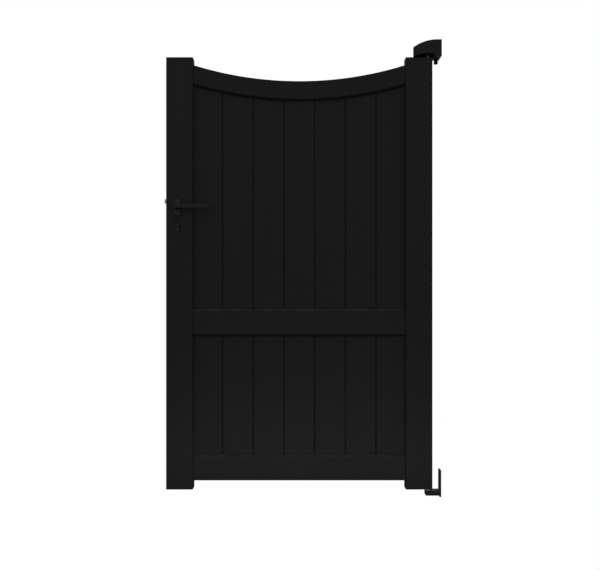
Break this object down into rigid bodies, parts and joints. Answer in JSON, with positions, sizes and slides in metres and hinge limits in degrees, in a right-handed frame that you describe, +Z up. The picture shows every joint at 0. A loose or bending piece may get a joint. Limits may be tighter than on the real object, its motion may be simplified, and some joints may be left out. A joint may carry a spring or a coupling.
{
  "type": "garden gate",
  "caption": "Solid-panel pedestrian garden gate with a dipped top rail, vertical boards, a mid rail, lever lock and pillar pivots.",
  "frame": {"origin": "centre of the back of the lower bracket's wall plate, on the pillar face", "axes": "+X out of the gate into the pillar, +Y from the street face to the garden face, +Z up"},
  "size_m": [1.029, 0.164, 1.6937],
  "materials": {
    "coated_frame": "black fine-texture powder coat on aluminium, satin",
    "coated_boards": "black fine-texture powder coat on aluminium, satin",
    "coated_cover": "black powder coat on cast aluminium, satin",
    "coated_hardware": "black powder coat on steel, satin",
    "black_lever": "black coated zinc casting, satin",
    "black_cylinder": "blackened brass, satin",
    "black_screw": "blackened stainless screw",
    "cap_nylon": "black moulded nylon, fine grain",
    "washer_nylon": "natural acetal",
    "bronze_bush": "turned bronze",
    "black_plug": "blackened brass, turned",
    "zinc_steel": "zinc-plated pressed steel",
    "bright_steel": "stainless steel, brushed"
  },
  "bodies": {
    "pillar_hardware": {"lower_hinge_bracket": "coated_hardware", "lower_pivot_pin": "bright_steel", "thrust_washer": "washer_nylon", "upper_hinge_bracket": "coated_hardware", "upper_pivot_pin": "bright_steel", "upper_hinge_cover": "coated_cover", "cover_screw": "black_screw"},
    "leaf": {"bottom_rail": "coated_frame", "cylinder_body": "black_cylinder", "cylinder_screw": "bright_steel", "forend_screw_lower": "bright_steel", "forend_screw_upper": "bright_steel", "hinge_stile": "coated_frame", "hinge_stile_bottom_cap": "cap_nylon", "hinge_stile_top_cap": "cap_nylon", "latch_spring": "zinc_steel", "latch_stile": "coated_frame", "latch_stile_bottom_cap": "cap_nylon", "latch_stile_top_cap": "cap_nylon", "lock_case": "zinc_steel", "lock_case_cover": "zinc_steel", "lock_forend": "bright_steel", "lower_board_1": "coated_boards", "lower_board_2": "coated_boards", "lower_board_3": "coated_boards", "lower_board_4": "coated_boards", "lower_board_5": "coated_boards", "lower_board_6": "coated_boards", "lower_board_7": "coated_boards", "lower_hinge_bush": "bronze_bush", "middle_rail": "coated_frame", "rosette_bolt_lower": "bright_steel", "rosette_bolt_upper": "bright_steel", "rosette_front": "black_lever", "rosette_rear": "black_lever", "top_rail": "coated_frame", "upper_board_1": "coated_boards", "upper_board_2": "coated_boards", "upper_board_3": "coated_boards", "upper_board_4": "coated_boards", "upper_board_5": "coated_boards", "upper_board_6": "coated_boards", "upper_board_7": "coated_boards", "upper_hinge_bush": "bronze_bush"},
    "lever_set": {"lever_front": "black_lever", "lever_rear": "black_lever", "lever_spindle": "zinc_steel", "lock_follower": "zinc_steel", "lever_grub_screw_front": "bright_steel", "lever_grub_screw_rear": "bright_steel"},
    "latch": {"latch_bolt": "bright_steel"},
    "key_plug": {"cylinder_plug_front": "black_plug", "cylinder_plug_rear": "black_plug", "cylinder_cam": "zinc_steel"},
    "dead_bolt": {"dead_bolt": "bright_steel"}
  },
  "joints": [
    {"name": "gate_swing", "type": "hinge", "parent": "pillar_hardware", "child": "leaf", "pos_m": [-0.047, 0, 0.78], "axis": [0, 0, -1], "range_deg": [0, 90]},
    {"name": "lever_turn", "type": "hinge", "parent": "leaf", "child": "lever_set", "pos_m": [-0.976, 0, 1.024], "axis": [0, 1, 0], "range_deg": [0, 40], "stiffness_Nm_per_rad": 1.5, "springref_deg": -28.65},
    {"name": "latch_slide", "type": "slide", "parent": "leaf", "child": "latch", "axis": [1, 0, 0], "range_m": [0, 0.01], "deforming": ["latch_spring"]},
    {"name": "key_turn", "type": "hinge", "parent": "leaf", "child": "key_plug", "pos_m": [-0.976, 0, 0.958], "axis": [0, 1, 0], "range_deg": [0, 360]},
    {"name": "dead_bolt_slide", "type": "slide", "parent": "leaf", "child": "dead_bolt", "axis": [-1, 0, 0], "range_m": [0, 0.02]}
  ],
  "couplings": [
    {"joint": "latch_slide", "follows": "lever_turn", "m_per_rad": 0.0143},
    {"joint": "key_turn", "follows": "dead_bolt_slide", "rad_per_m": 314.16}
  ]
}
